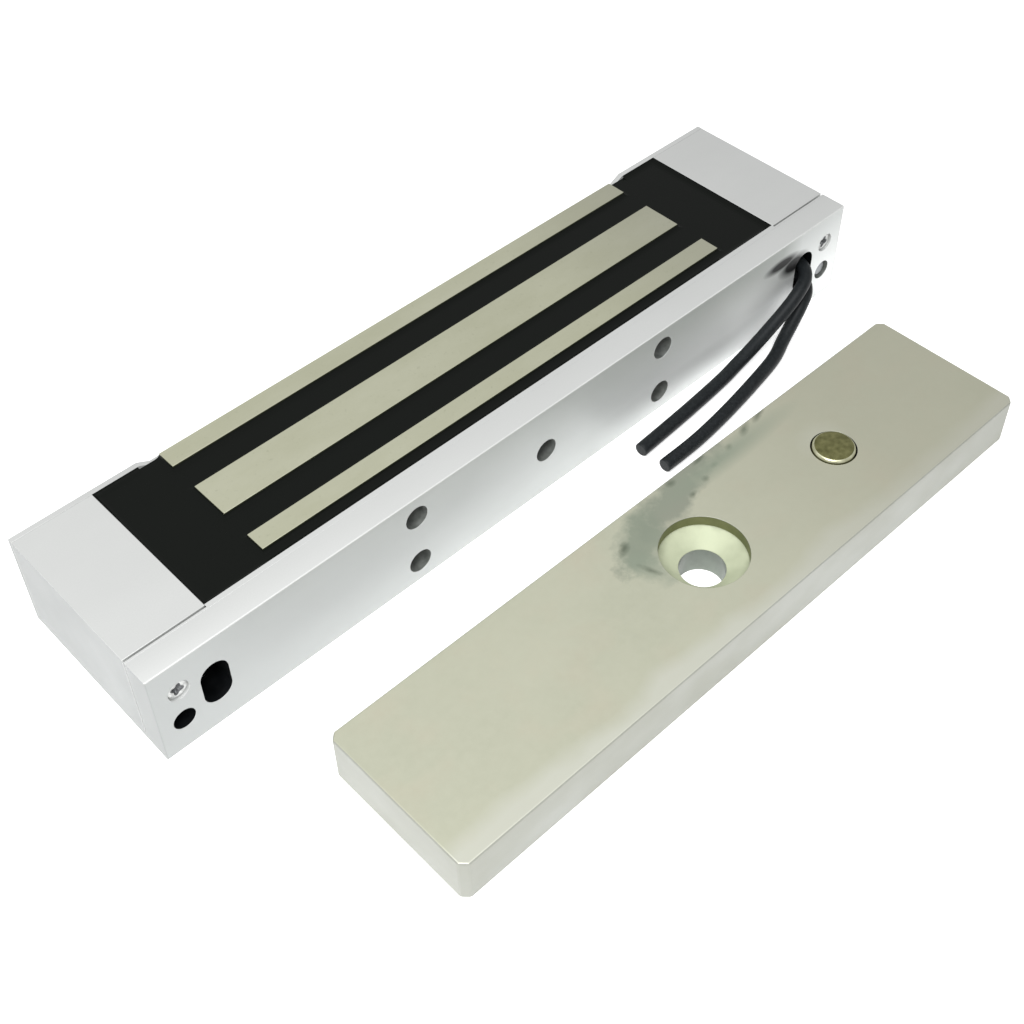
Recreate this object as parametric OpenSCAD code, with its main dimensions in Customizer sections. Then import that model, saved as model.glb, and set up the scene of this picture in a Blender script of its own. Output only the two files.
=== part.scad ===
// Magnetic door lock for a swing door: a potted electromagnet in an aluminium housing on its mounting
// plate, and the steel armature plate that goes on the door. Millimetres.
// +X runs along the lock, -Y is the side of the mounting plate, +Z is up. Everything rests on z = 0.
// The magnet lies on its back with the pole faces up. The armature lies beside it, face up.

/* [Magnet body] */
// length of the magnet body
body_l = 170; // [120:1:280]
// width of the magnet body with its mounting plate
body_w = 40; // [32:0.5:80]
// height from the housing's back to its top edge
body_h = 21; // [18:0.5:45]
// thickness of the mounting plate
plate_t = 5.2; // [3:0.1:10]
// length of each end block
block_l = 15.5; // [12:0.5:30]

/* [Core and coil] */
// length of the iron core
core_l = 112; // [80:1:220]
// width of each outer pole
pole_w = 4.3; // [3:0.1:10]
// width of each coil slot
slot_w = 6.4; // [5:0.1:12]

/* [Armature] */
// length of the armature plate
arm_l = 140; // [100:1:240]
// width of the armature plate
arm_w = 31.5; // [28:0.5:70]
// thickness of the armature plate
arm_t = 10; // [8:0.5:20]
// distance from the centre bore to the release pin
pin_x = 35.5; // [25:0.5:60]
// how far the release pin stands out of the face
pin_proud = 0.6; // [0.3:0.1:2]

/* [Leads] */
// outside diameter of each lead
lead_d = 2.8; // [2:0.1:4]

/* [Hidden] */
$fn = 48;
eps = 0.5;
half_l = body_l / 2;
block_x = half_l - block_l;

// the magnet's plate face and the armature's centre, so that the pair is centred on Y
plate_y = 5.75;
arm_x = 3;
arm_y = -30;

wall_t = 1.1;
floor_t = 1.5;
thin_wall_t = 0.45;
block_gap = 0.4;
near_in_y = plate_t + wall_t;
far_in_y = body_w - wall_t;
block_y = plate_t + thin_wall_t + block_gap;

notch_half = 57.5;
notch_slant = 2.5;
notch_depth = 1.3;

slot_x = 73.5;
slot_z = 10.4;
slot_wide = 5.4;
slot_tall = 9.4;

body_screw_x = 80.3;
body_screw_z = 7;
body_screw_d = 5;
body_screw_root_d = 4.1;
body_screw_l = 30;
body_screw_head_d = 8;
body_screw_head_h = 5;
body_screw_seat_y = 30.6;
body_screw_back_off = 3.2;
body_screw_hole_d = 5.3;
body_screw_tap_d = 4.2;
head_bore_d = 8.4;

plate_screw_x = 80;
plate_screw_z = 14.3;
plate_screw_d = 2;
plate_screw_head_d = 3.8;
plate_screw_head_h = 1.1;
plate_screw_l = 12;
plate_screw_sink = 0.45;
plate_screw_clear = 0.1;
cross_half_l = 0.9;
cross_half_w = 0.25;
cross_depth = 0.8;

fix_hole_d = 4.8;
fix_hole_x = 30.8;
fix_hole_dz = 5.7;
fix_sink_d = 8.6;

pocket_end_x = 77;
pocket_end_y = 14;
pocket_z0 = 5.4;
pocket_z1 = 15.6;

core_w = 4 * pole_w + 2 * slot_w;
core_y0 = far_in_y - core_w;
core_y1 = far_in_y;
core_mid_y = (core_y0 + core_y1) / 2;
core_base_h = 5;
core_top_z = body_h + 0.2;
slot_floor_z = floor_t + core_base_h;
epoxy_top_z = body_h - 0.7;

bobbin_clear = 0.1;
bobbin_t = 0.8;
bobbin_top_z = 18.5;
coil_out = slot_w - 0.4;
tape_t = 0.3;
centre_half_w = pole_w;
centre_half_l = core_l / 2;

splice_d = 3.4;
splice_l = 7;
splice_y = 11.5;
splice_z_low = 8;
splice_z_high = 12.2;
coil_lead_d = 1.2;
coil_lead_x = 60.5;
varistor_d = 8;
varistor_t = 4;
varistor_x = 66;
varistor_y = 27;
varistor_z = 10;
varistor_leg_d = 0.8;

arm_corner = 1.2;
bore_d = 8.4;
counterbore_d = 16;
counterbore_depth = 2.3;
bore_cone_depth = 4.5;
pin_hole_d = 8.6;
pin_d = 8;
pin_round = 0.6;
shoulder_z = 7;
spring_bore_d = 10;
pin_flange_d = 9.7;
pin_flange_h = 1.2;
plug_h = 2.2;
plug_slot_w = 1.2;
plug_slot_depth = 1;
guide_hole_d = 5;
guide_hole_depth = 6;
guide_hole_x = 20;
spring_wire_d = 0.6;
spring_d = 8.2;
spring_turns = 3;
spring_steps = 16;

// Routes of the two leads: out of the splices, round in the end block's pocket, out of the cable slot,
// down to the surface and back along the plate.
lead_ring_steps = 2;
lead_facets = 8;
left_route = [[69.5, 11.5, 12.2], [69.9, 11.5, 12.2], [70.3, 11.5, 12.2], [71.6, 11.3, 12.2],
              [73.1, 10.4, 12.1], [74.2, 8.8, 12], [74.6, 6.9, 11.8], [74.6, 4.4, 11.5], [74.5, 2, 11.2],
              [73.6, -0.4, 10.9], [71.7, -2.1, 10.4], [69, -3, 9.6], [65.4, -3.3, 7.7], [60.4, -3.3, 5.3],
              [54.8, -3.4, 3.2], [49.5, -3.6, 1.8], [44.5, -4.2, 1.45], [33.2, -5.3, 1.45], [19, -6.3, 1.45]];
right_route = [[69.5, 11.5, 8], [69.9, 11.5, 8], [70.3, 11.5, 8], [71.6, 11.3, 8], [73.1, 10.4, 8.1],
               [74.2, 8.8, 8.2], [74.6, 6.9, 8.2], [74.6, 4.4, 8.2], [74.6, 2, 8], [74, -0.5, 7.6],
               [72.3, -2.4, 6.9], [69.6, -3.5, 5.7], [66.4, -4.3, 3.8], [62, -5.5, 1.9], [57.8, -7.1, 1.45],
               [52, -8.5, 1.45], [40, -10.6, 1.45], [29, -11.9, 1.45], [19.2, -12.2, 1.45]];

aluminium_tone = [0.80, 0.81, 0.80];
steel_tone = [0.70, 0.70, 0.64];
screw_tone = [0.45, 0.46, 0.47];
black_tone = [0.08, 0.08, 0.08];
brass_tone = [0.60, 0.58, 0.36];
copper_tone = [0.65, 0.36, 0.20];
bobbin_tone = [0.85, 0.82, 0.74];
tape_tone = [0.75, 0.68, 0.30];
varistor_tone = [0.15, 0.30, 0.62];
sleeve_tone = [0.55, 0.10, 0.10];

// ---- helpers ----

module on_magnet() {
  translate([0, plate_y, 0])
    children();
}

module on_armature() {
  translate([arm_x, arm_y, 0])
    children();
}

// a box given by its two opposite corners
module box(low, high) {
  translate(low)
    cube(high - low);
}

// a round bar along +Y from y0 to y1
module bar_y(d, x, y0, y1, z) {
  translate([x, y0, z])
    rotate([-90, 0, 0])
      cylinder(d = d, h = y1 - y0);
}

// a round bar along +X from x0 to x1
module bar_x(d, x0, x1, y, z) {
  translate([x0, y, z])
    rotate([0, 90, 0])
      cylinder(d = d, h = x1 - x0);
}

// a cone along +Y
module cone_y(d0, d1, x, y0, y1, z) {
  translate([x, y0, z])
    rotate([-90, 0, 0])
      cylinder(d1 = d0, d2 = d1, h = y1 - y0);
}

// an upright round-ended slot cut along +Y
module slot_y(x, y0, y1) {
  straight = (slot_tall - slot_wide) / 2;
  bar_y(slot_wide, x, y0, y1, slot_z - straight);
  bar_y(slot_wide, x, y0, y1, slot_z + straight);
  box([x - slot_wide / 2, y0, slot_z - straight], [x + slot_wide / 2, y1, slot_z + straight]);
}

// a rectangular ring round the centre pole: its hole is `inner` off the pole, its rim `outer` off it
module pole_ring(inner, outer, z0, z1) {
  difference() {
    box([-centre_half_l - outer, core_mid_y - centre_half_w - outer, z0],
        [centre_half_l + outer, core_mid_y + centre_half_w + outer, z1]);
    box([-centre_half_l - inner, core_mid_y - centre_half_w - inner, z0 - eps],
        [centre_half_l + inner, core_mid_y + centre_half_w + inner, z1 + eps]);
  }
}

// ---- swept tube for leads and spring wire ----

function sub3(a, b) = [a[0] - b[0], a[1] - b[1], a[2] - b[2]];
function unit(v) = v / norm(v);
function tangent(p, i) =
  i == 0 ? unit(sub3(p[1], p[0])) :
  i == len(p) - 1 ? unit(sub3(p[i], p[i - 1])) :
  unit(unit(sub3(p[i + 1], p[i])) + unit(sub3(p[i], p[i - 1])));
// Catmull-Rom point between p[i] and p[i + 1]
function at(p, i) = p[max(0, min(len(p) - 1, i))];
function spline_point(p, i, t) =
  0.5 * (2 * at(p, i) + (at(p, i + 1) - at(p, i - 1)) * t
    + (2 * at(p, i - 1) - 5 * at(p, i) + 4 * at(p, i + 1) - at(p, i + 2)) * t * t
    + (3 * at(p, i) - at(p, i - 1) - 3 * at(p, i + 1) + at(p, i + 2)) * t * t * t);
function smooth_path(p, n) =
  [for (i = [0 : len(p) - 2]) for (k = [0 : n - 1]) spline_point(p, i, k / n), p[len(p) - 1]];
// side vector of each ring, carried along the path so that the tube does not twist
function next_side(side, t) = unit(side - (side * t) * t);
function sides(p, i, side) =
  i == len(p) ? [] :
  let (s = next_side(side, tangent(p, i)))
  concat([s], sides(p, i + 1, s));

module tube(path, d, first_side, facets) {
  side = sides(path, 0, first_side);
  n = len(path);
  points = [for (i = [0 : n - 1])
    let (t = tangent(path, i), u = side[i], v = cross(t, u))
    for (k = [0 : facets - 1])
      let (a = 360 * (k + 0.5) / facets)
      path[i] + d / 2 * (cos(a) * u + sin(a) * v)];
  walls = [for (i = [0 : n - 2]) for (k = [0 : facets - 1])
    let (a = i * facets + k, b = i * facets + (k + 1) % facets)
    [a, b, b + facets, a + facets]];
  caps = [[for (k = [facets - 1 : -1 : 0]) k], [for (k = [0 : facets - 1]) (n - 1) * facets + k]];
  polyhedron(points = points, faces = concat([for (w = walls) [w[3], w[2], w[1], w[0]]],
    [for (c = caps) [for (k = [len(c) - 1 : -1 : 0]) c[k]]]));
}

// ---- magnet side ----

module housing() {
  color(aluminium_tone)
    on_magnet()
      difference() {
        union() {
          box([-half_l, plate_t, 0], [half_l, body_w, floor_t]);
          box([-half_l, plate_t, 0], [half_l, near_in_y, body_h]);
          box([-half_l, far_in_y, 0], [half_l, body_w, body_h]);
        }
        far_wall_notch();
        for (side = [-1, 1]) {
          box_pair(side, block_x, half_l + eps, plate_t + thin_wall_t, near_in_y + 0.01,
            floor_t, body_h + eps);
          slot_y(side * slot_x, plate_t - eps, near_in_y + eps);
          bar_y(body_screw_hole_d, side * body_screw_x, plate_t - eps, near_in_y + eps, body_screw_z);
          bar_y(head_bore_d, side * body_screw_x, far_in_y - eps, body_w + eps, body_screw_z);
          bar_y(plate_screw_d + 2 * plate_screw_clear, side * plate_screw_x, plate_t - eps, near_in_y + eps,
            plate_screw_z);
        }
      }
}

// a box mirrored to the chosen end
module box_pair(side, x0, x1, y0, y1, z0, z1) {
  if (side > 0)
    box([x0, y0, z0], [x1, y1, z1]);
  else
    box([-x1, y0, z0], [-x0, y1, z1]);
}

// the far wall is cut down along the core, with sloping ends
module far_wall_notch() {
  translate([0, body_w + eps, 0])
    rotate([90, 0, 0])
      linear_extrude(height = wall_t + 2 * eps)
        polygon([[-notch_half, body_h - notch_depth], [notch_half, body_h - notch_depth],
          [notch_half + notch_slant, body_h + 0.01], [notch_half + notch_slant, body_h + eps],
          [-notch_half - notch_slant, body_h + eps], [-notch_half - notch_slant, body_h + 0.01]]);
}

module end_block(side) {
  color(aluminium_tone)
    on_magnet()
      difference() {
        box_pair(side, block_x, half_l, block_y, far_in_y, floor_t, body_h);
        box_pair(side, block_x - eps, pocket_end_x, block_y - eps, pocket_end_y, pocket_z0, pocket_z1);
        bar_y(body_screw_hole_d, side * body_screw_x, block_y - eps, far_in_y + eps, body_screw_z);
        bar_y(head_bore_d, side * body_screw_x, body_screw_seat_y, far_in_y + eps, body_screw_z);
        bar_y(plate_screw_d, side * plate_screw_x, block_y - eps, plate_screw_l + plate_screw_sink + 1,
          plate_screw_z);
      }
}

module end_block_left() {
  end_block(-1);
}

module end_block_right() {
  end_block(1);
}

module mounting_plate() {
  mid_z = body_h / 2;
  color(aluminium_tone)
    on_magnet()
      difference() {
        box([-half_l, 0, 0], [half_l, plate_t, body_h]);
        fix_hole(0, mid_z);
        for (side = [-1, 1]) {
          fix_hole(side * fix_hole_x, mid_z - fix_hole_dz);
          fix_hole(side * fix_hole_x, mid_z + fix_hole_dz);
          slot_y(side * slot_x, -eps, plate_t + eps);
          bar_y(body_screw_tap_d, side * body_screw_x, -eps, plate_t + eps, body_screw_z);
          plate_screw_hole(side * plate_screw_x);
        }
      }
}

// a plain screw hole, countersunk on the hidden side that faces the housing
module fix_hole(x, z) {
  sink_h = (fix_sink_d - fix_hole_d) / 2;
  bar_y(fix_hole_d, x, -eps, plate_t + eps, z);
  cone_y(fix_hole_d, fix_sink_d + 0.02, x, plate_t - sink_h, plate_t + 0.01, z);
}

module plate_screw_hole(x) {
  sink = plate_screw_sink + plate_screw_clear;
  bar_y(plate_screw_d + 2 * plate_screw_clear, x, -eps, plate_t + eps, plate_screw_z);
  bar_y(plate_screw_head_d + 2 * plate_screw_clear, x, -eps, sink, plate_screw_z);
  cone_y(plate_screw_head_d + 2 * plate_screw_clear, plate_screw_d + 2 * plate_screw_clear, x,
    sink, sink + plate_screw_head_h, plate_screw_z);
}

// the left screw is not run fully home, so its tip stays deep in the plate's hole
module body_screws() {
  color(screw_tone)
    on_magnet() {
      body_screw(-1, body_screw_back_off);
      body_screw(1, 0);
    }
}

// the thread is drawn at its root diameter where it runs in the plate
module body_screw(side, back_off) {
  seat_y = body_screw_seat_y + back_off;
  tip_y = seat_y - body_screw_l;
  x = side * body_screw_x;
  difference() {
    union() {
      bar_y(body_screw_head_d, x, seat_y, seat_y + body_screw_head_h, body_screw_z);
      bar_y(body_screw_d, x, plate_t + 0.1, seat_y + eps, body_screw_z);
      bar_y(body_screw_root_d, x, tip_y + 0.6, plate_t + eps, body_screw_z);
      cone_y(body_screw_root_d - 1.2, body_screw_root_d, x, tip_y, tip_y + 0.6, body_screw_z);
    }
    translate([x, seat_y + body_screw_head_h - 2.5, body_screw_z])
      rotate([-90, 0, 0])
        cylinder(d = 4.6, h = 3, $fn = 6);
  }
}

module plate_screws() {
  color(screw_tone)
    on_magnet()
      for (side = [-1, 1])
        plate_screw(side * plate_screw_x);
}

module plate_screw(x) {
  top = plate_screw_sink;
  difference() {
    union() {
      cone_y(plate_screw_head_d, plate_screw_d, x, top, top + plate_screw_head_h, plate_screw_z);
      bar_y(plate_screw_d, x, top + plate_screw_head_h - 0.1, top + plate_screw_l, plate_screw_z);
    }
    cross_arm(x, top, cross_half_l, cross_half_w);
    cross_arm(x, top, cross_half_w, cross_half_l);
  }
}

// one bar of the cross recess in a screw head
module cross_arm(x, top, dx, dz) {
  box([x - dx, top - eps, plate_screw_z - dz], [x + dx, top + cross_depth, plate_screw_z + dz]);
}

module e_core() {
  color(steel_tone)
    on_magnet()
      difference() {
        box([-core_l / 2, core_y0, floor_t], [core_l / 2, core_y1, core_top_z]);
        for (y0 = [core_y0 + pole_w, core_mid_y + centre_half_w])
          box([-core_l, y0, slot_floor_z], [core_l, y0 + slot_w, core_top_z + eps]);
      }
}

module coil_bobbin() {
  tube_out = bobbin_clear + bobbin_t;
  color(bobbin_tone)
    on_magnet() {
      pole_ring(bobbin_clear, tube_out, slot_floor_z, bobbin_top_z);
      bobbin_flange(slot_floor_z);
      bobbin_flange(bobbin_top_z - bobbin_t);
    }
}

module bobbin_flange(z0) {
  pole_ring(bobbin_clear, coil_out, z0, z0 + bobbin_t);
}

module coil_winding() {
  color(copper_tone)
    on_magnet()
      pole_ring(bobbin_clear + bobbin_t, coil_out - tape_t, slot_floor_z + bobbin_t, bobbin_top_z - bobbin_t);
}

module coil_tape() {
  color(tape_tone)
    on_magnet()
      pole_ring(coil_out - tape_t, coil_out, slot_floor_z + bobbin_t, bobbin_top_z - bobbin_t);
}

// fills the channel round the core and coil up to just below the housing's top edge
module potting_epoxy() {
  color(black_tone)
    on_magnet()
      difference() {
        box([-block_x, near_in_y, floor_t], [block_x, far_in_y, epoxy_top_z]);
        box([-core_l / 2, core_y0, floor_t - eps], [core_l / 2, core_y0 + pole_w, core_top_z]);
        box([-core_l / 2, core_y1 - pole_w, floor_t - eps], [core_l / 2, core_y1 + eps, core_top_z]);
        box([-core_l / 2, core_y0, floor_t - eps], [core_l / 2, core_y1 + eps, slot_floor_z]);
        box([-centre_half_l, core_mid_y - centre_half_w, floor_t - eps],
            [centre_half_l, core_mid_y + centre_half_w, core_top_z]);
        pole_ring(-0.01, coil_out, slot_floor_z - 0.01, bobbin_top_z);
        coil_lead_bars();
        splice_bars();
        varistor_body();
      }
}

module coil_lead_bars() {
  for (z = [splice_z_low, splice_z_high])
    bar_x(coil_lead_d, coil_lead_x, block_x - splice_l, splice_y, z);
  for (z = [splice_z_low, splice_z_high])
    box([coil_lead_x - coil_lead_d / 2, splice_y - coil_lead_d / 2, z - coil_lead_d / 2],
        [coil_lead_x + coil_lead_d / 2, core_mid_y - centre_half_w - coil_out, z + coil_lead_d / 2]);
}

module coil_leads() {
  color(copper_tone)
    on_magnet()
      coil_lead_bars();
}

module splice_bars() {
  for (z = [splice_z_low, splice_z_high])
    bar_x(splice_d, block_x - splice_l, block_x, splice_y, z);
}

module splice_sleeves() {
  color(sleeve_tone)
    on_magnet()
      splice_bars();
}

module varistor_body() {
  bar_x(varistor_d, varistor_x - varistor_t / 2, varistor_x + varistor_t / 2, varistor_y, varistor_z);
  for (y = [varistor_y - 2.5, varistor_y + 2.5])
    box([varistor_x - varistor_leg_d / 2, y - varistor_leg_d / 2, floor_t + 0.6],
        [varistor_x + varistor_leg_d / 2, y + varistor_leg_d / 2, varistor_z]);
}

module surge_varistor() {
  color(varistor_tone)
    on_magnet()
      varistor_body();
}

module lead_wire_left() {
  lead(left_route);
}

module lead_wire_right() {
  lead(right_route);
}

module lead(route) {
  color(black_tone)
    on_magnet()
      tube(smooth_path(route, lead_ring_steps), lead_d, [0, 0, 1], lead_facets);
}

// ---- armature side ----

module armature_plate() {
  color(steel_tone)
    on_armature()
      difference() {
        linear_extrude(height = arm_t)
          chamfered_rectangle(arm_l / 2, arm_w / 2, arm_corner);
        armature_bore();
        release_pin_bore();
        for (side = [-1, 1])
          translate([side * guide_hole_x, 0, -eps])
            cylinder(d = guide_hole_d, h = guide_hole_depth + eps);
      }
}

module chamfered_rectangle(a, b, c) {
  polygon([[-a + c, -b], [a - c, -b], [a, -b + c], [a, b - c],
    [a - c, b], [-a + c, b], [-a, b - c], [-a, -b + c]]);
}

// stepped centre hole: a wide counterbore with a drill-point floor, then the bolt bore
module armature_bore() {
  translate([0, 0, -eps])
    cylinder(d = bore_d, h = arm_t + 2 * eps);
  translate([0, 0, arm_t - counterbore_depth])
    cylinder(d = counterbore_d, h = counterbore_depth + eps);
  translate([0, 0, arm_t - bore_cone_depth])
    cylinder(d1 = bore_d, d2 = counterbore_d, h = bore_cone_depth - counterbore_depth + 0.001);
}

module release_pin_bore() {
  translate([pin_x, 0, -eps])
    cylinder(d = pin_hole_d, h = arm_t + 2 * eps);
  translate([pin_x, 0, -eps])
    cylinder(d = spring_bore_d, h = shoulder_z + eps);
}

module release_pin() {
  top_z = arm_t + pin_proud;
  arc_r = pin_d / 2 - pin_round;
  arc = [for (a = [0 : 22.5 : 90]) [arc_r + pin_round * cos(a), top_z - pin_round + pin_round * sin(a)]];
  color(brass_tone)
    on_armature()
      translate([pin_x, 0, 0])
        rotate_extrude()
          polygon(concat([[0, shoulder_z - pin_flange_h], [pin_flange_d / 2, shoulder_z - pin_flange_h],
            [pin_flange_d / 2, shoulder_z], [pin_d / 2, shoulder_z]], arc, [[0, top_z]]));
}

module release_spring() {
  low = plug_h + spring_wire_d / 2 + 0.02;
  high = shoulder_z - pin_flange_h - spring_wire_d / 2 - 0.02;
  steps = spring_turns * spring_steps;
  r = (spring_d - spring_wire_d) / 2;
  path = [for (i = [0 : steps]) [r * cos(360 * i / spring_steps), r * sin(360 * i / spring_steps),
    low + (high - low) * i / steps]];
  color(screw_tone)
    on_armature()
      translate([pin_x, 0, 0])
        tube(path, spring_wire_d, [1, 0, 0], 8);
}

module spring_plug() {
  color(screw_tone)
    on_armature()
      translate([pin_x, 0, 0])
        difference() {
          cylinder(d = spring_bore_d, h = plug_h);
          box([-spring_bore_d, -plug_slot_w / 2, -eps], [spring_bore_d, plug_slot_w / 2, plug_slot_depth]);
        }
}

housing();
end_block_left();
end_block_right();
mounting_plate();
body_screws();
plate_screws();
e_core();
coil_bobbin();
coil_winding();
coil_tape();
potting_epoxy();
coil_leads();
splice_sleeves();
surge_varistor();
lead_wire_left();
lead_wire_right();
armature_plate();
release_pin();
release_spring();
spring_plug();
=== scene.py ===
import math

import bmesh
import bpy
from mathutils import Matrix, Vector


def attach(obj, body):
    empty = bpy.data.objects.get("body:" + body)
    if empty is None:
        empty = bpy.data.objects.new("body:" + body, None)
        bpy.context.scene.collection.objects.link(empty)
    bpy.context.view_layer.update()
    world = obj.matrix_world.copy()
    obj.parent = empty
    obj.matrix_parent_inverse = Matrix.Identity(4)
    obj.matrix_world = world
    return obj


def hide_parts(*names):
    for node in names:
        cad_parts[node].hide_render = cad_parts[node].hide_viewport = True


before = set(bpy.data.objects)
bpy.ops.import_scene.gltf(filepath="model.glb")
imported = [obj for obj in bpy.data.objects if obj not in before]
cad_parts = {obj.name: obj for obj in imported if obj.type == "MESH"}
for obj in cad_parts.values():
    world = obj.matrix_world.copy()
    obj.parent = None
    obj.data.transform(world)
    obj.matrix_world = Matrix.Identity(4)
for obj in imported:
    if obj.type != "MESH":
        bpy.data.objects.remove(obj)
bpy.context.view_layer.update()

# Looks of the magnetic door lock. Metres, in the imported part's own frame: +X along the lock towards its
# leads, -Y the mounting plate's side, +Z up. All pieces rest on z = 0. The camera and the light are given in
# metres, and the part's own measures below in millimetres.

MM = 0.001

CAMERA_AT = Vector((-0.134, -0.131, 0.2098))
CAMERA_AIM = Vector((0.00498, 0.01984, 0.0))
CAMERA_ROLL = math.radians(-1.04)
CAMERA_LENS = 53.17
CAMERA_SHIFT = (-0.002, -0.073)

WORLD_STRENGTH = 0.4
LIGHT_AT = (-0.2, -0.12, 0.42)
LIGHT_AIM = (-0.05, -0.01, 0)
LIGHT_SIDE = 0.35
LIGHT_WATTS = 2.75

# The leads' routes, as in the part's source: y counts from the mounting plate's front face.
PLATE_Y = 5.75
LEAD_D = 2.8
LEAD_FACETS = 24
LEAD_STEPS = 8
LEFT_ROUTE = [
    (69.5, 11.5, 12.2), (69.9, 11.5, 12.2), (70.3, 11.5, 12.2), (71.6, 11.3, 12.2), (73.1, 10.4, 12.1),
    (74.2, 8.8, 12), (74.6, 6.9, 11.8), (74.6, 4.4, 11.5), (74.5, 2, 11.2), (73.6, -0.4, 10.9),
    (71.7, -2.1, 10.4), (69, -3, 9.6), (65.4, -3.3, 7.7), (60.4, -3.3, 5.3), (54.8, -3.4, 3.2),
    (49.5, -3.6, 1.8), (44.5, -4.2, 1.45), (33.2, -5.3, 1.45), (19, -6.3, 1.45),
]
RIGHT_ROUTE = [
    (69.5, 11.5, 8), (69.9, 11.5, 8), (70.3, 11.5, 8), (71.6, 11.3, 8), (73.1, 10.4, 8.1), (74.2, 8.8, 8.2),
    (74.6, 6.9, 8.2), (74.6, 4.4, 8.2), (74.6, 2, 8), (74, -0.5, 7.6), (72.3, -2.4, 6.9), (69.6, -3.5, 5.7),
    (66.4, -4.3, 3.8), (62, -5.5, 1.9), (57.8, -7.1, 1.45), (52, -8.5, 1.45), (40, -10.6, 1.45),
    (29, -11.9, 1.45), (19.2, -12.2, 1.45),
]

# Places the finishes and the filling refer to, in the part's own frame.
BODY_HALF_L = 85.0
BODY_H = 21.0
NEAR_WALL_IN_Y = 12.05
FAR_WALL_IN_Y = 44.65
POTTED_HALF_L = 69.5
EPOXY_TOP_Z = 20.3
FAR_CUT_HALF_L = 60.3
CORE_HALF_L = 56.0
NEAR_POLE_Y = (14.65, 18.95)
CENTRE_POLE_Y = (25.35, 33.95)
FAR_POLE_Y = (40.35, 44.65)
ARMATURE_AT = (3.0, -30.0)
PIN_AT = (38.5, -30.0)
ARMATURE_HALF_W = 15.75
ARMATURE_HALF_L = 70.0
ARMATURE_H = 10.0
PATCH_HALF_H = 9.0
SLOT_X = 73.5
POCKET_X = (69.6, 77.5)
POCKET_Z = (5.2, 15.8)
POCKET_END_Y = 20.2
BODY_SCREW_X = 80.3
PLATE_SCREW_AT = (80.0, 14.3)
PLATE_SCREW_SINK = 0.45
PLATE_SCREW_FACETS = 48
CROSS_TURN = math.radians(20)
CROSS_WAIST = 0.38

# The resin's foot: width and height against the walls, and round the poles.
WALL_FOOT = (1.4, 0.66)
POLE_FOOT = (1.0, 0.55)

# Tolerances: lying on a surface, looking along an axis, a sharp edge, a flat joint and a doubled corner.
TOUCH = 0.01
FACING = 0.95
SHARP_FROM = math.radians(35)
FLAT_WITHIN = math.radians(0.3)
WELD_WITHIN = 0.001


# ---- camera ----

def make_camera():
    data = bpy.data.cameras.new("camera")
    data.sensor_width = 36
    data.lens = CAMERA_LENS
    data.shift_x, data.shift_y = CAMERA_SHIFT
    data.clip_start = 0.01
    camera = bpy.data.objects.new("camera", data)
    bpy.context.scene.collection.objects.link(camera)
    look = (CAMERA_AIM - CAMERA_AT).to_track_quat("-Z", "Y").to_matrix()
    turned = look @ Matrix.Rotation(CAMERA_ROLL, 3, "Z")
    camera.matrix_world = Matrix.Translation(CAMERA_AT) @ turned.to_4x4()
    bpy.context.scene.camera = camera


# ---- leads ----

def catmull_rom(points, steps):
    """A smooth path through the points, with that many steps between neighbours."""
    padded = [points[0], *points, points[-1]]
    path = []
    for a, b, c, d in zip(padded, padded[1:], padded[2:], padded[3:]):
        for k in range(steps):
            t = k / steps
            path.append(0.5 * (2 * b + (c - a) * t + (2 * a - 5 * b + 4 * c - d) * t * t
                               + (3 * b - a - 3 * c + d) * t * t * t))
    path.append(points[-1])
    return path


def tube_rings(path, radii, facets, first_side):
    """Rings of points round the path, carried along it without twist."""
    rings = []
    side = first_side
    for i, point in enumerate(path):
        before = path[max(i - 1, 0)]
        after = path[min(i + 1, len(path) - 1)]
        along = (after - before).normalized()
        side = (side - side.dot(along) * along).normalized()
        other = along.cross(side)
        rings.append([
            point + radii[i] * (math.cos(a) * side + math.sin(a) * other)
            for a in (math.tau * (k + 0.5) / facets for k in range(facets))
        ])
    return rings


def mesh_from_rings(name, rings):
    """A closed skin over rings of equal size, capped at both ends."""
    bm = bmesh.new()
    rows = [[bm.verts.new(p) for p in ring] for ring in rings]
    count = len(rows[0])
    for low, high in zip(rows, rows[1:]):
        for k in range(count):
            n = (k + 1) % count
            bm.faces.new((low[k], low[n], high[n], high[k]))
    bm.faces.new(rows[0][::-1])
    bm.faces.new(rows[-1])
    for face in bm.faces:
        face.smooth = len(face.verts) == 4
    return link_mesh(name, bm)


def link_mesh(name, bm):
    """An object in the scene from a finished bmesh, with its faces turned outwards."""
    bmesh.ops.recalc_face_normals(bm, faces=bm.faces)
    mesh = bpy.data.meshes.new(name)
    bm.to_mesh(mesh)
    bm.free()
    obj = bpy.data.objects.new(name, mesh)
    bpy.context.scene.collection.objects.link(obj)
    return obj


def make_lead(node, route):
    """One lead: a soft insulated wire, cut off blunt with a small rounded rim."""
    points = [Vector((x, y + PLATE_Y, z)) * MM for x, y, z in route]
    path = catmull_rom(points, LEAD_STEPS)
    along = (path[-1] - path[-2]).normalized()
    end = path.pop()
    radius = LEAD_D / 2 * MM
    radii = [radius] * len(path)
    for back, share in ((0.25, 1.0), (0.12, 0.97), (0.03, 0.88), (0.0, 0.78)):
        path.append(end - along * back * MM)
        radii.append(radius * share)
    up = Vector((0, 0, 1))
    obj = mesh_from_rings(node + "_insulation", tube_rings(path, radii, LEAD_FACETS, up))
    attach(obj, "magnet")
    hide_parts(node)
    return obj


# ---- materials ----

def shade(tone, factor):
    """The tone made lighter or darker by the factor."""
    return tuple(c * factor for c in tone)


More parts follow.
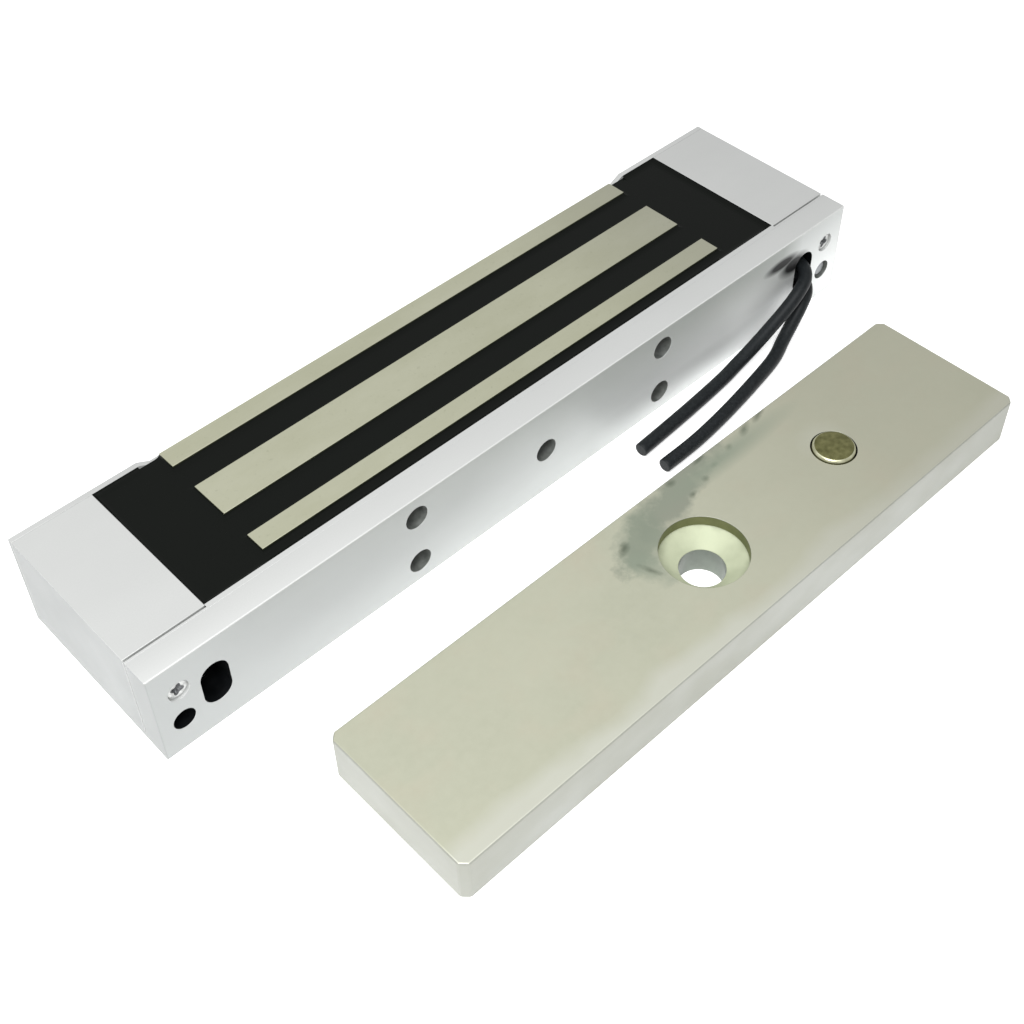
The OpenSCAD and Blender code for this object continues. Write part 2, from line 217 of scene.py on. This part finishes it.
class Finish:
    """A node material: its shader, and short ways to add textures in the object's own coordinates."""

    def __init__(self, name, **sockets):
        self.material = bpy.data.materials.new(name)
        self.material.use_nodes = True
        self.tree = self.material.node_tree
        self.shader = self.tree.nodes["Principled BSDF"]
        self.place = self.tree.nodes.new("ShaderNodeTexCoord")
        for socket, value in sockets.items():
            self.shader.inputs[socket.replace("_", " ")].default_value = value

    def node(self, kind, **values):
        """A new node of that kind, with those settings."""
        node = self.tree.nodes.new(kind)
        for key, value in values.items():
            setattr(node, key, value)
        return node

    def link(self, source, target):
        self.tree.links.new(source, target)

    def noise(self, size_mm, stretch=(1, 1, 1), detail=3.0, roughness=0.5):
        """Smooth noise from 0 to 1 whose spots are about size_mm across, and longer by `stretch` on each axis."""
        mapping = self.node("ShaderNodeMapping")
        mapping.inputs["Scale"].default_value = [1 / s for s in stretch]
        self.link(self.place.outputs["Object"], mapping.inputs["Vector"])
        texture = self.node("ShaderNodeTexNoise")
        texture.inputs["Scale"].default_value = 1 / (size_mm * MM)
        texture.inputs["Detail"].default_value = detail
        texture.inputs["Roughness"].default_value = roughness
        self.link(mapping.outputs["Vector"], texture.inputs["Vector"])
        return texture.outputs["Fac"]

    def axes(self):
        """The X, Y and Z of a point of the object, in metres."""
        node = self.node("ShaderNodeSeparateXYZ")
        self.link(self.place.outputs["Object"], node.inputs["Vector"])
        return tuple(node.outputs)

    def blob(self, at_mm, size_mm, turn=0):
        """1 at a point, falling to 0 at the rim of an ellipsoid of those half sizes turned about Z."""
        mapping = self.node("ShaderNodeMapping", vector_type="TEXTURE")
        mapping.inputs["Location"].default_value = [v * MM for v in at_mm]
        mapping.inputs["Rotation"].default_value = (0, 0, math.radians(turn))
        mapping.inputs["Scale"].default_value = [v * MM for v in size_mm]
        self.link(self.place.outputs["Object"], mapping.inputs["Vector"])
        length = self.node("ShaderNodeVectorMath", operation="LENGTH")
        self.link(mapping.outputs["Vector"], length.inputs[0])
        return self.maths("SUBTRACT", 1.0, length.outputs["Value"])

    def spread(self, source, low, high, to_low=0.0, to_high=1.0):
        """The source's range low..high carried to to_low..to_high, and held there."""
        node = self.node("ShaderNodeMapRange")
        self.link(source, node.inputs["Value"])
        ends = {"From Min": low, "From Max": high, "To Min": to_low, "To Max": to_high}
        for name, value in ends.items():
            node.inputs[name].default_value = value
        return node.outputs["Result"]

    def mixed(self, factor, first, second):
        """Two colours, or colour sources, mixed by the factor."""
        node = self.node("ShaderNodeMix", data_type="RGBA")
        self.link(factor, node.inputs["Factor"])
        for name, value in (("A", first), ("B", second)):
            socket = next(s for s in node.inputs if s.name == name and s.type == "RGBA")
            if isinstance(value, bpy.types.NodeSocket):
                self.link(value, socket)
            else:
                socket.default_value = (*value, 1)
        return next(s for s in node.outputs if s.type == "RGBA")

    def maths(self, kind, first, second):
        """The sum, product or other result of two numbers or number sources."""
        node = self.node("ShaderNodeMath", operation=kind)
        for socket, value in zip(node.inputs, (first, second)):
            if isinstance(value, bpy.types.NodeSocket):
                self.link(value, socket)
            else:
                socket.default_value = value
        return node.outputs["Value"]

    def bumps(self, height, depth_mm, normal=None):
        """Small dents as deep as depth_mm that follow the height, on top of another normal if one is given."""
        node = self.node("ShaderNodeBump")
        node.inputs["Strength"].default_value = 1.0
        node.inputs["Distance"].default_value = depth_mm * MM
        self.link(height, node.inputs["Height"])
        if normal is not None:
            self.link(normal, node.inputs["Normal"])
        return node.outputs["Normal"]

    def colour(self, source):
        self.link(source, self.shader.inputs["Base Color"])

    def rough(self, source):
        self.link(source, self.shader.inputs["Roughness"])

    def normal(self, source):
        self.link(source, self.shader.inputs["Normal"])


def extruded_surface(finish):
    """The surface of an anodised extrusion: fine grain, faint lines along X and cloudy handling marks. Gives
    back the grain and the clouds for the colour to follow."""
    grain = finish.noise(0.25, detail=2)
    lines = finish.noise(0.5, stretch=(60, 1, 1), detail=2)
    clouds = finish.noise(14, stretch=(2, 1, 1), detail=4)
    finish.rough(finish.spread(clouds, 0.3, 0.7, 0.5, 0.42))
    finish.normal(finish.bumps(lines, 0.003, finish.bumps(grain, 0.006)))
    return grain, clouds


def anodised_aluminium(name, tone=(0.60, 0.61, 0.60)):
    """Matt silver anodising in one tone."""
    finish = Finish(name, Metallic=0.25)
    grain, clouds = extruded_surface(finish)
    cloudy = finish.mixed(finish.spread(clouds, 0.3, 0.7), shade(tone, 0.96), shade(tone, 1.03))
    finish.colour(finish.mixed(finish.spread(grain, 0.3, 0.7, 0, 0.3), cloudy, shade(tone, 0.9)))
    return finish.material


def plate_front(name):
    """The mounting plate's front: anodising with painted shade at the left end and high on the right, painted
    light low on the right, and a painted shadow of the leads beside the slot that they leave by."""
    finish = Finish(name, Metallic=0.25)
    _, clouds = extruded_surface(finish)
    x, _, z = finish.axes()
    tone = finish.mixed(finish.spread(clouds, 0.3, 0.7), (0.53, 0.55, 0.54), (0.57, 0.59, 0.58))
    # Painted shade: the tone darkens towards the left end.
    left = finish.spread(x, -85 * MM, 10 * MM, 1, 0)
    tone = finish.mixed(left, tone, (0.40, 0.415, 0.41))

    high = finish.spread(z, 8 * MM, 20 * MM)
    low = finish.maths("SUBTRACT", 1.0, high)
    # Painted light: the tone is lighter low on the right.
    low_right = finish.maths("MULTIPLY", low, finish.spread(x, 12 * MM, 50 * MM))
    tone = finish.mixed(low_right, tone, (0.84, 0.86, 0.85))

    # Painted shade: darker high on the right, fading out just before the slot.
    along = finish.spread(x, -45 * MM, 60 * MM)
    before_slot = finish.spread(x, 66 * MM, 72 * MM, 1, 0)
    high_right = finish.maths("MULTIPLY", finish.maths("MULTIPLY", high, along), before_slot)
    tone = finish.mixed(finish.maths("MULTIPLY", high_right, 0.72), tone, (0.25, 0.27, 0.25))

    # Painted shadow of the leads: a near-black smear just left of the slot, below the top edge.
    by_slot = finish.blob((70, 0, 14.2), (5.5, 40, 3.2))
    trailing = finish.blob((66, 0, 16.4), (6.5, 40, 1.9))
    lead_shadow = finish.spread(finish.maths("MAXIMUM", by_slot, trailing), 0.05, 0.55)
    finish.colour(finish.mixed(lead_shadow, tone, (0.001, 0.0012, 0.0012)))
    return finish.material


def armature_face(name):
    """The armature's working face: plated steel, cloudy, with an old grey stain, a near edge lighter with wear,
    and painted shade towards its right end.
    """
    finish = Finish(name, Metallic=0.3)
    lines = finish.noise(0.3, stretch=(30, 1, 1), detail=3)
    clouds = finish.noise(16, stretch=(1.5, 1, 1), detail=4, roughness=0.55)
    warm = finish.noise(9, detail=2)
    specks = finish.noise(1.6, detail=4, roughness=0.65)
    tone = finish.mixed(finish.spread(clouds, 0.35, 0.65), (0.455, 0.465, 0.36), (0.50, 0.505, 0.395))
    tone = finish.mixed(finish.spread(warm, 0.5, 0.75, 0, 0.5), tone, (0.51, 0.475, 0.37))
    tone = finish.mixed(finish.spread(specks, 0.35, 0.75, 0, 0.35), tone, (0.52, 0.53, 0.42))

    x, y, _ = finish.axes()
    wander = finish.spread(finish.noise(14, detail=2), 0.3, 0.7, -1.2 * MM, 1.2 * MM)
    near_edge = (ARMATURE_AT[1] - ARMATURE_HALF_W) * MM
    wear_and_highlight = finish.spread(finish.maths("ADD", y, wander), near_edge + 1.5 * MM, near_edge + 4.5 * MM, 0.75, 0)
    tone = finish.mixed(wear_and_highlight, tone, (0.57, 0.58, 0.51))

    # Painted shade: the tone darkens towards the right end.
    tone = finish.mixed(finish.spread(x, -5 * MM, 45 * MM, 0, 0.5), tone, (0.37, 0.365, 0.285))
    tone = armature_stain(finish, tone)
    by_pin = ((38.5, -27.2), (6.5, 5.5), (0.50, 0.51, 0.43), 0.6)
    by_far_edge = ((21, -17.5), (26, 3.4), (0.27, 0.31, 0.24), 0.8)
    round_bore = (ARMATURE_AT, (11.5, 11.5), (0.50, 0.52, 0.40), 0.25)
    for at, size, colour, amount in (by_pin, by_far_edge, round_bore):
        patch = finish.blob((*at, ARMATURE_H), (*size, PATCH_HALF_H))
        tone = finish.mixed(finish.spread(patch, 0.1, 0.9, 0, amount), tone, colour)
    finish.colour(tone)
    finish.rough(finish.spread(clouds, 0.3, 0.7, 0.46, 0.38))
    finish.normal(finish.bumps(lines, 0.003, finish.bumps(specks, 0.006)))
    return finish.material


def armature_stain(finish, tone):
    """A grey wedge between the far long edge and the bore, with dark flecks along its near side."""
    ragged = finish.spread(finish.noise(5, detail=4, roughness=0.6), 0.25, 0.75, -0.35, 0.35)
    for at, size, turn, colour, amount in (
            ((9, -17.5), (23, 5.2), 17, (0.255, 0.277, 0.222), 0.85),
            ((-3, -21), (10, 6), 35, (0.255, 0.29, 0.225), 0.85),
            ((-6.5, -26.5), (4, 6), 20, (0.27, 0.31, 0.24), 0.65)):
        cloud = finish.maths("ADD", finish.blob((*at, ARMATURE_H), (*size, PATCH_HALF_H), turn), ragged)
        tone = finish.mixed(finish.spread(cloud, 0.1, 0.55, 0, amount), tone, colour)
    flecks = (
        ((35.5, -14.7), (3.2, 0.9), 18), ((30.5, -15.4), (2.6, 1.1), 25), ((25, -16.5), (1.6, 0.9), 20),
        ((19.5, -17.6), (1.3, 0.8), 10), ((16, -18.8), (1.1, 1.0), 0), ((11.5, -19.8), (1.5, 0.8), 15),
        ((18.5, -14.9), (2.4, 0.6), 8), ((10.5, -15.3), (1.5, 1.0), 0), ((-6.5, -20), (2.4, 1.2), 30),
        ((-6.5, -27), (1.0, 3.2), 20),
    )
    for at, size, turn in flecks:
        fleck = finish.maths("ADD", finish.blob((*at, ARMATURE_H), (*size, PATCH_HALF_H), turn), ragged)
        tone = finish.mixed(finish.spread(fleck, 0.1, 0.9, 0, 0.7), tone, (0.085, 0.105, 0.07))
    return tone


def armature_side(name):
    """The armature's sawn and plated sides, whiter than its face."""
    finish = Finish(name, Metallic=0.3)
    lines = finish.noise(0.4, stretch=(30, 30, 1), detail=3)
    clouds = finish.noise(12, stretch=(1.5, 1.5, 1), detail=4)
    finish.colour(finish.mixed(finish.spread(clouds, 0.35, 0.65), (0.325, 0.332, 0.287), (0.365, 0.375, 0.34)))
    finish.rough(finish.spread(clouds, 0.3, 0.7, 0.5, 0.42))
    finish.normal(finish.bumps(lines, 0.006))
    return finish.material


def core_steel(name):
    """The laminated core's ground pole faces: cloudy, with small dark specks, and painted shade towards the right
    end.
    """
    finish = Finish(name, Metallic=0.3)
    lines = finish.noise(0.2, stretch=(1, 30, 1), detail=3)
    clouds = finish.noise(9, stretch=(2, 1, 1), detail=5, roughness=0.6)
    specks = finish.noise(0.7, detail=3, roughness=0.7)
    x, _, _ = finish.axes()
    tone = finish.mixed(finish.spread(clouds, 0.35, 0.65), (0.42, 0.425, 0.31), (0.465, 0.47, 0.355))
    # Painted shade: darker towards the right end of the poles.
    tone = finish.mixed(finish.spread(x, 25 * MM, 56 * MM, 0, 0.42), tone, (0.28, 0.28, 0.24))
    tone = finish.mixed(finish.spread(specks, 0.62, 0.75, 0, 0.4), tone, (0.24, 0.25, 0.17))
    finish.colour(tone)
    finish.rough(finish.spread(clouds, 0.3, 0.7, 0.48, 0.38))
    finish.normal(finish.bumps(lines, 0.003))
    return finish.material


def potted_epoxy(name):
    """Black casting resin with the faint waves of a poured surface."""
    finish = Finish(name, Base_Color=(0.0055, 0.0065, 0.0055, 1), Specular_IOR_Level=0.13)
    waves = finish.noise(8, stretch=(2, 1, 1), detail=1)
    dust = finish.noise(0.5, detail=3)
    finish.rough(finish.spread(dust, 0.3, 0.8, 0.16, 0.3))
    finish.normal(finish.bumps(waves, 0.04))
    return finish.material


def lead_rubber(name):
    """Dull black insulation, slightly grey where it is rubbed."""
    finish = Finish(name, Specular_IOR_Level=0.22)
    grain = finish.noise(0.5, detail=3)
    finish.colour(finish.mixed(finish.spread(grain, 0.3, 0.7), (0.009, 0.011, 0.012), (0.016, 0.019, 0.021)))
    finish.rough(finish.spread(grain, 0.3, 0.7, 0.42, 0.55))
    finish.normal(finish.bumps(grain, 0.01))
    return finish.material


def simple_metal(name, light, dark, roughness=0.35, size_mm=1.5, metallic=0.85):
    """A metal in two tones, cloudy at size_mm."""
    finish = Finish(name, Metallic=metallic)
    clouds = finish.noise(size_mm, detail=4)
    finish.colour(finish.mixed(finish.spread(clouds, 0.3, 0.7), dark, light))
    finish.rough(finish.spread(clouds, 0.3, 0.7, roughness - 0.06, roughness + 0.08))
    finish.normal(finish.bumps(clouds, 0.005))
    return finish.material


def simple_plastic(name, light, dark, roughness=0.45, specular=0.5):
    """A plastic in two tones."""
    finish = Finish(name, Specular_IOR_Level=specular)
    clouds = finish.noise(2.5, detail=4)
    finish.colour(finish.mixed(finish.spread(clouds, 0.3, 0.7), dark, light))
    finish.rough(finish.spread(clouds, 0.3, 0.7, roughness - 0.05, roughness + 0.08))
    finish.normal(finish.bumps(clouds, 0.01))
    return finish.material


def paint_nodes(plans):
    """Gives CAD nodes that are shown as they are their material: a list of (material, nodes)."""
    for material, nodes in plans:
        for node in nodes:
            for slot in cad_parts[node].material_slots:
                slot.material = material


# ---- rounded copies of the CAD nodes ----

def welded_shape(node):
    """The CAD node's shape, with doubled corners welded and flat faces made whole."""
    bm = bmesh.new()
    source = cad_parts[node].data
    verts = [bm.verts.new(v.co) for v in source.vertices]
    for polygon in source.polygons:
        bm.faces.new([verts[i] for i in polygon.vertices])
    bmesh.ops.remove_doubles(bm, verts=bm.verts, dist=WELD_WITHIN * MM)
    bmesh.ops.dissolve_limit(bm, angle_limit=FLAT_WITHIN, verts=bm.verts, edges=bm.edges)
    bmesh.ops.recalc_face_normals(bm, faces=bm.faces)
    return bm


def round_edges(bm, widths):
    """Rounds the sharp edges and gives back the faces that this made."""
    rounds = set()
    for width, test in widths:
        sharp = [e for e in bm.edges if len(e.link_faces) == 2 and e.calc_face_angle(0) > SHARP_FROM
                 and test((e.verts[0].co + e.verts[1].co) / 2 / MM)]
        done = bmesh.ops.bevel(bm, geom=sharp, offset=width * MM, offset_type="OFFSET", segments=3,
                               profile=0.5, affect="EDGES", clamp_overlap=False)
        rounds = {f for f in rounds if f.is_valid} | set(done["faces"])
    return rounds


def corner_normals(bm, rounds):
    """One normal for each corner, taken from the faces that aren't rounds, so that flat faces look flat."""
    normals = []
    for vert in bm.verts:
        plain = [f for f in vert.link_faces if f not in rounds] or vert.link_faces
        normals.append(sum((f.normal for f in plain), Vector()).normalized())
    return normals


def rounded_copy(node, body, widths, finishes):
    """A CAD node's shape with its sharp edges rounded. `widths` is a list of (millimetres, test), where test
    takes an edge's middle in millimetres. `finishes` is a list of (material, test), where test takes a face's
    centre in millimetres and its normal; the last one that fits wins."""
    bm = welded_shape(node)
    rounds = round_edges(bm, widths)
    for face in bm.faces:
        face.smooth = True
        centre = face.calc_center_median() / MM
        face.material_index = max(i for i, (_, test) in enumerate(finishes) if test(centre, face.normal))
    normals = corner_normals(bm, rounds)
    mesh = bpy.data.meshes.new(node + "_rounded")
    bm.to_mesh(mesh)
    bm.free()
    mesh.normals_split_custom_set_from_vertices(normals)
    obj = bpy.data.objects.new(node + "_rounded", mesh)
    bpy.context.scene.collection.objects.link(obj)
    for material, _ in finishes:
        mesh.materials.append(material)
    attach(obj, body)
    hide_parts(node)
    return obj


def anywhere(*_):
    return True


def from_axis(centre, at):
    """Distance of a face's centre from an upright axis, in millimetres."""
    return math.hypot(centre.x - at[0], centre.y - at[1])


# ---- magnet ----

def on_plate_front(centre, normal):
    return normal.y < -FACING and centre.y < PLATE_Y + TOUCH


def on_end(centre, normal):
    return abs(normal.x) > FACING and abs(centre.x) > BODY_HALF_L - TOUCH


def on_plate_end_edge(centre, _):
    return abs(centre.x) > BODY_HALF_L - 0.3 and centre.y < PLATE_Y + 0.3


def on_plate_top_edge(centre, normal):
    leaning = -FACING <= normal.y < -0.2 and normal.z > 0.2
    return leaning and centre.y < PLATE_Y + 0.4 and centre.z > BODY_H - 0.5


def in_plate_hole(centre, normal):
    rim = 0.6
    from_screw = math.hypot(abs(centre.x) - PLATE_SCREW_AT[0], centre.z - PLATE_SCREW_AT[1])
    within = abs(centre.x) < BODY_HALF_L - rim and rim < centre.z < BODY_H - rim and centre.y > PLATE_Y + 0.25
    return within and abs(normal.y) < 0.9 and from_screw >= 2.3


def in_dark_plate_hole(centre, normal):
    in_slot = abs(abs(centre.x) - SLOT_X) < 3.2
    in_left_screw_hole = abs(centre.x + BODY_SCREW_X) < 2.6 and centre.z < 10
    return in_plate_hole(centre, normal) and (in_slot or in_left_screw_hole)


def in_housing_hole(centre, normal):
    near_wall = centre.y < NEAR_WALL_IN_Y + 0.1 and 1.7 < centre.z < 20 and abs(centre.x) < 84.5
    return near_wall and abs(normal.y) < 0.97


def in_lead_pocket(centre, _):
    along = POCKET_X[0] < abs(centre.x) < POCKET_X[1]
    return along and POCKET_Z[0] < centre.z < POCKET_Z[1] and centre.y < POCKET_END_Y


def on_pole_side(_, normal):
    return normal.z < 0.5


def front_outline(middle):
    on_rim = middle.z < TOUCH or middle.z > BODY_H - TOUCH or abs(middle.x) > BODY_HALF_L - TOUCH
    return middle.y < PLATE_Y + 1 and on_rim


def off_front_outline(middle):
    return not front_outline(middle)


def magnet_metalwork():
    aluminium = anodised_aluminium("silver_anodising")
    sawn = anodised_aluminium("sawn_end", (0.35, 0.363, 0.358))
    # Near-black paint on the walls of holes and lead pockets: painted shade.
    black = simple_plastic("painted_inner_shade", (0.007, 0.008, 0.009), (0.003, 0.0035, 0.004), specular=0.1)
    screw = simple_metal("zinc_screw", (0.34, 0.35, 0.36), (0.20, 0.21, 0.22))
    plain = [(aluminium, anywhere), (sawn, on_end)]

    round_plate(plain, sawn, black)
    rounded_copy("housing", "magnet", [(0.07, anywhere)], [*plain, (black, in_housing_hole)])
    for node in ("end_block_left", "end_block_right"):
        rounded_copy(node, "magnet", [(0.13, anywhere)], [*plain, (black, in_lead_pocket)])
    # Dark olive pole sides: partly resin that climbs them, partly painted shade.
    core_side = simple_metal("olive_core_side", (0.10, 0.105, 0.06), (0.05, 0.055, 0.03), metallic=0.5)
    rounded_copy("e_core", "magnet", [(0.12, anywhere)],
                 [(core_steel("ground_core_steel"), anywhere), (core_side, on_pole_side)])
    rounded_copy("body_screws", "magnet", [(0.1, anywhere)], [(screw, anywhere)])
    head = simple_metal("bright_screw", (0.66, 0.67, 0.66), (0.50, 0.51, 0.50), metallic=0.4)
    # Dark grey paint in the screws' cross recesses: painted shade.
    recess = simple_metal("screw_recess_shade", (0.17, 0.175, 0.18), (0.11, 0.115, 0.12), metallic=0.3)
    for name, side in (("left", -1), ("right", 1)):
        make_plate_screw(name, side, head, recess)
    paint_nodes([(screw, ("release_spring", "spring_plug"))])


def round_plate(plain, sawn, black):
    """The mounting plate, with a painted highlight along the top edge of its front and its hole walls painted
    dark as shade.
    """
    front = plate_front("plate_front")
    # Painted highlight: a lighter strip on the rounded top edge of the front.
    wear_and_highlight = anodised_aluminium("top_edge_highlight", (0.70, 0.71, 0.70))
    # Dark grey paint on the walls of the plate's other holes: painted shade.
    shaded_hole_wall = simple_metal("shaded_hole_wall", (0.27, 0.285, 0.27), (0.15, 0.16, 0.15), metallic=0.4)
    rounded_copy("mounting_plate", "magnet", [(0.2, front_outline), (0.06, off_front_outline)],
                 [*plain, (sawn, on_plate_end_edge), (front, on_plate_front), (wear_and_highlight, on_plate_top_edge),
                  (shaded_hole_wall, in_plate_hole), (black, in_dark_plate_hole)])


def make_plate_screw(name, side, head_finish, recess_finish):
    """A small countersunk screw with a tapered cross recess. Its rings run from the tip to the head's rim and
    down into the recess: radius, depth below the head, and 1 where the ring is a cross."""
    rings = []
    for radius, depth, cross in ((1.0, 12, 0), (1.0, 1.1, 0), (1.88, 0.08, 0), (1.8, 0, 0), (1.3, 0, 1),
                                 (1.05, 0.45, 1), (0.6, 0.9, 1)):
        ring = []
        for k in range(PLATE_SCREW_FACETS):
            angle = math.tau * k / PLATE_SCREW_FACETS + CROSS_TURN
            reach = radius * (1 - cross * CROSS_WAIST * math.sin(2 * (angle - CROSS_TURN)) ** 2)
            ring.append(Vector((side * PLATE_SCREW_AT[0] + reach * math.sin(angle),
                                PLATE_Y + PLATE_SCREW_SINK + depth,
                                PLATE_SCREW_AT[1] + reach * math.cos(angle))) * MM)
        rings.append(ring)
    obj = mesh_from_rings(f"plate_screw_{name}", rings)
    obj.data.materials.append(head_finish)
    obj.data.materials.append(recess_finish)
    for polygon in obj.data.polygons:
        centre = polygon.center / MM
        depth = centre.y - PLATE_Y - PLATE_SCREW_SINK
        from_middle = math.hypot(centre.x - side * PLATE_SCREW_AT[0], centre.z - PLATE_SCREW_AT[1])
        polygon.material_index = int(0.05 < depth < 1.05 and from_middle < 1.35)
    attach(obj, "magnet")
    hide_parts("plate_screws")


# ---- armature ----

def on_armature_face(centre, normal):
    return normal.z > 0.8 and centre.z > ARMATURE_H - 0.1


def on_bore_step(centre, _):
    return from_axis(centre, ARMATURE_AT) < 8.3 and 0.1 < centre.z < ARMATURE_H - 0.25


def on_bore_cone(centre, normal):
    return on_bore_step(centre, normal) and normal.z > 0.2


def in_bore(centre, normal):
    return from_axis(centre, ARMATURE_AT) < 4.5 and centre.z > 0.1 and normal.z < 0.2


def in_pin_hole(centre, _):
    return from_axis(centre, PIN_AT) < 5.2 and centre.z < ARMATURE_H - 0.1


def on_pin_rim(_, normal):
    return 0.12 < normal.z < 0.97


def armature_outline(middle):
    on_side = abs(middle.y - ARMATURE_AT[1]) > ARMATURE_HALF_W - 2
    return on_side or abs(middle.x - ARMATURE_AT[0]) > ARMATURE_HALF_L - 2


def armature_inner_edges(middle):
    return not armature_outline(middle)


def armature_metalwork():
    olive = simple_metal("olive_step", (0.24, 0.25, 0.12), (0.14, 0.155, 0.06),
                         roughness=0.5, size_mm=5, metallic=0.4)
    cone = simple_metal("pale_cone", (0.56, 0.60, 0.43), (0.46, 0.50, 0.35),
                        roughness=0.6, size_mm=4, metallic=0.2)
    grey = simple_metal("bore_grey", (0.23, 0.26, 0.225), (0.17, 0.19, 0.165), size_mm=3, metallic=0.5)
    # Near-black paint on the pin hole's walls: painted shade.
    dark = simple_plastic("pin_hole_shade", (0.02, 0.022, 0.012), (0.01, 0.011, 0.007), specular=0.1)
    rounded_copy("armature_plate", "armature",
                 [(0.08, armature_inner_edges), (0.4, armature_outline)],
                 [(armature_side("armature_side"), anywhere), (armature_face("armature_face"), on_armature_face),
                  (olive, on_bore_step), (cone, on_bore_cone), (grey, in_bore), (dark, in_pin_hole)])
    zinc = simple_metal("yellow_zinc", (0.24, 0.235, 0.10), (0.125, 0.125, 0.045),
                        roughness=0.4, size_mm=1.2, metallic=0.6)
    # Painted highlight: the pin's rounded rim is much lighter than the pin.
    rim = simple_metal("pin_rim_highlight", (0.72, 0.72, 0.52), (0.50, 0.50, 0.33), metallic=0.7)
    rounded_copy("release_pin", "pin", [], [(zinc, anywhere), (rim, on_pin_rim)])


# ---- filling ----

def meniscus(name, corners, closed, toward, foot, material):
    """The resin's curved foot against upright walls. The corners run along the wall, and `toward` is 1 where
    the resin lies on their left and -1 where it lies on their right. `foot` is its width and height."""
    width, height = foot
    profile = ((0, -0.05), (0, 1), (0.12, 0.6), (0.32, 0.27), (0.6, 0.08), (1, 0.0), (1, -0.05))
    count = len(corners)
    points = [Vector(c) for c in corners]
    offsets = []
    for i, point in enumerate(points):
        before = points[i - 1] if closed or i else point - (points[1] - point)
        after = points[(i + 1) % count] if closed or i < count - 1 else point + (point - points[i - 1])
        left_in, left_out = (Vector((-d.y, d.x)).normalized() for d in (point - before, after - point))
        offsets.append((left_in + left_out) / (1 + left_in.dot(left_out)) * toward)
    bm = bmesh.new()
    rings = []
    for point, offset in zip(points, offsets):
        rings.append([bm.verts.new(Vector((
            point.x + offset.x * out * width,
            point.y + offset.y * out * width,
            EPOXY_TOP_Z + up * height)) * MM) for out, up in profile])
    pairs = list(zip(rings, rings[1:] + rings[:1] if closed else rings[1:]))
    for low, high in pairs:
        for k in range(len(profile)):
            n = (k + 1) % len(profile)
            bm.faces.new((low[k], low[n], high[n], high[k]))
    if not closed:
        bm.faces.new(rings[0][::-1])
        bm.faces.new(rings[-1])
    for face in bm.faces:
        face.smooth = abs(face.normal.z) > 0.1
    obj = link_mesh(name, bm)
    obj.data.materials.append(material)
    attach(obj, "magnet")


def make_filling():
    resin = potted_epoxy("black_epoxy")
    paint_nodes([(resin, ("potting_epoxy",))])
    rim = [(-POTTED_HALF_L, FAR_WALL_IN_Y), (-POTTED_HALF_L, NEAR_WALL_IN_Y), (POTTED_HALF_L, NEAR_WALL_IN_Y),
           (POTTED_HALF_L, FAR_WALL_IN_Y)]
    meniscus("epoxy_rim", rim, False, 1, WALL_FOOT, resin)
    for name, side in (("left", -1), ("right", 1)):
        wall = [(side * POTTED_HALF_L, FAR_WALL_IN_Y), (side * FAR_CUT_HALF_L, FAR_WALL_IN_Y)]
        meniscus(f"epoxy_far_rim_{name}", wall, False, side, WALL_FOOT, resin)
    for name, (low, high) in (("near", NEAR_POLE_Y), ("centre", CENTRE_POLE_Y)):
        ring = [(-CORE_HALF_L, low), (CORE_HALF_L, low), (CORE_HALF_L, high), (-CORE_HALF_L, high)]
        meniscus(f"epoxy_round_{name}_pole", ring, True, -1, POLE_FOOT, resin)
    low, high = FAR_POLE_Y
    ring = [(-CORE_HALF_L, high), (-CORE_HALF_L, low), (CORE_HALF_L, low), (CORE_HALF_L, high)]
    meniscus("epoxy_round_far_pole", ring, False, -1, POLE_FOOT, resin)


def paint_inside():
    paint_nodes([
        (simple_metal("copper_wire", (0.75, 0.36, 0.20), (0.60, 0.26, 0.14)), ("coil_winding", "coil_leads")),
        (simple_plastic("bobbin_nylon", (0.80, 0.77, 0.68), (0.74, 0.70, 0.60)), ("coil_bobbin",)),
        (simple_plastic("polyester_tape", (0.72, 0.62, 0.20), (0.62, 0.52, 0.15)), ("coil_tape",)),
        (simple_plastic("red_sleeve", (0.45, 0.04, 0.04), (0.36, 0.03, 0.03)), ("splice_sleeves",)),
        (simple_plastic("blue_varistor", (0.05, 0.12, 0.42), (0.04, 0.09, 0.34)), ("surge_varistor",)),
    ])


# ---- studio ----

def make_floor():
    """A white table, lit a little from below."""
    bm = bmesh.new()
    bmesh.ops.create_grid(bm, x_segments=1, y_segments=1, size=2.0)
    floor = link_mesh("floor", bm)
    finish = Finish("white_table", Roughness=0.9, Specular_IOR_Level=0.1, Emission_Strength=0.5)
    finish.shader.inputs["Emission Color"].default_value = (1, 1, 1, 1)
    finish.colour(finish.mixed(finish.noise(40), (0.9, 0.9, 0.9), (0.92, 0.92, 0.92)))
    floor.data.materials.append(finish.material)


def make_world():
    world = bpy.data.worlds.new("studio")
    world.use_nodes = True
    background = world.node_tree.nodes["Background"]
    background.inputs["Color"].default_value = (1, 1, 1, 1)
    background.inputs["Strength"].default_value = WORLD_STRENGTH
    bpy.context.scene.world = world


def make_light():
    data = bpy.data.lights.new("overhead", "AREA")
    data.shape = "SQUARE"
    data.size = LIGHT_SIDE
    data.energy = LIGHT_WATTS
    light = bpy.data.objects.new("overhead", data)
    light.location = LIGHT_AT
    light.rotation_euler = (Vector(LIGHT_AIM) - Vector(LIGHT_AT)).to_track_quat("-Z", "Y").to_euler()
    bpy.context.scene.collection.objects.link(light)


make_camera()
lead_finish = lead_rubber("black_lead")
for node, route in (("lead_wire_left", LEFT_ROUTE), ("lead_wire_right", RIGHT_ROUTE)):
    make_lead(node, route).data.materials.append(lead_finish)
magnet_metalwork()
armature_metalwork()
make_filling()
paint_inside()
make_floor()
make_world()
make_light()
bpy.context.scene.view_settings.view_transform = "Standard"
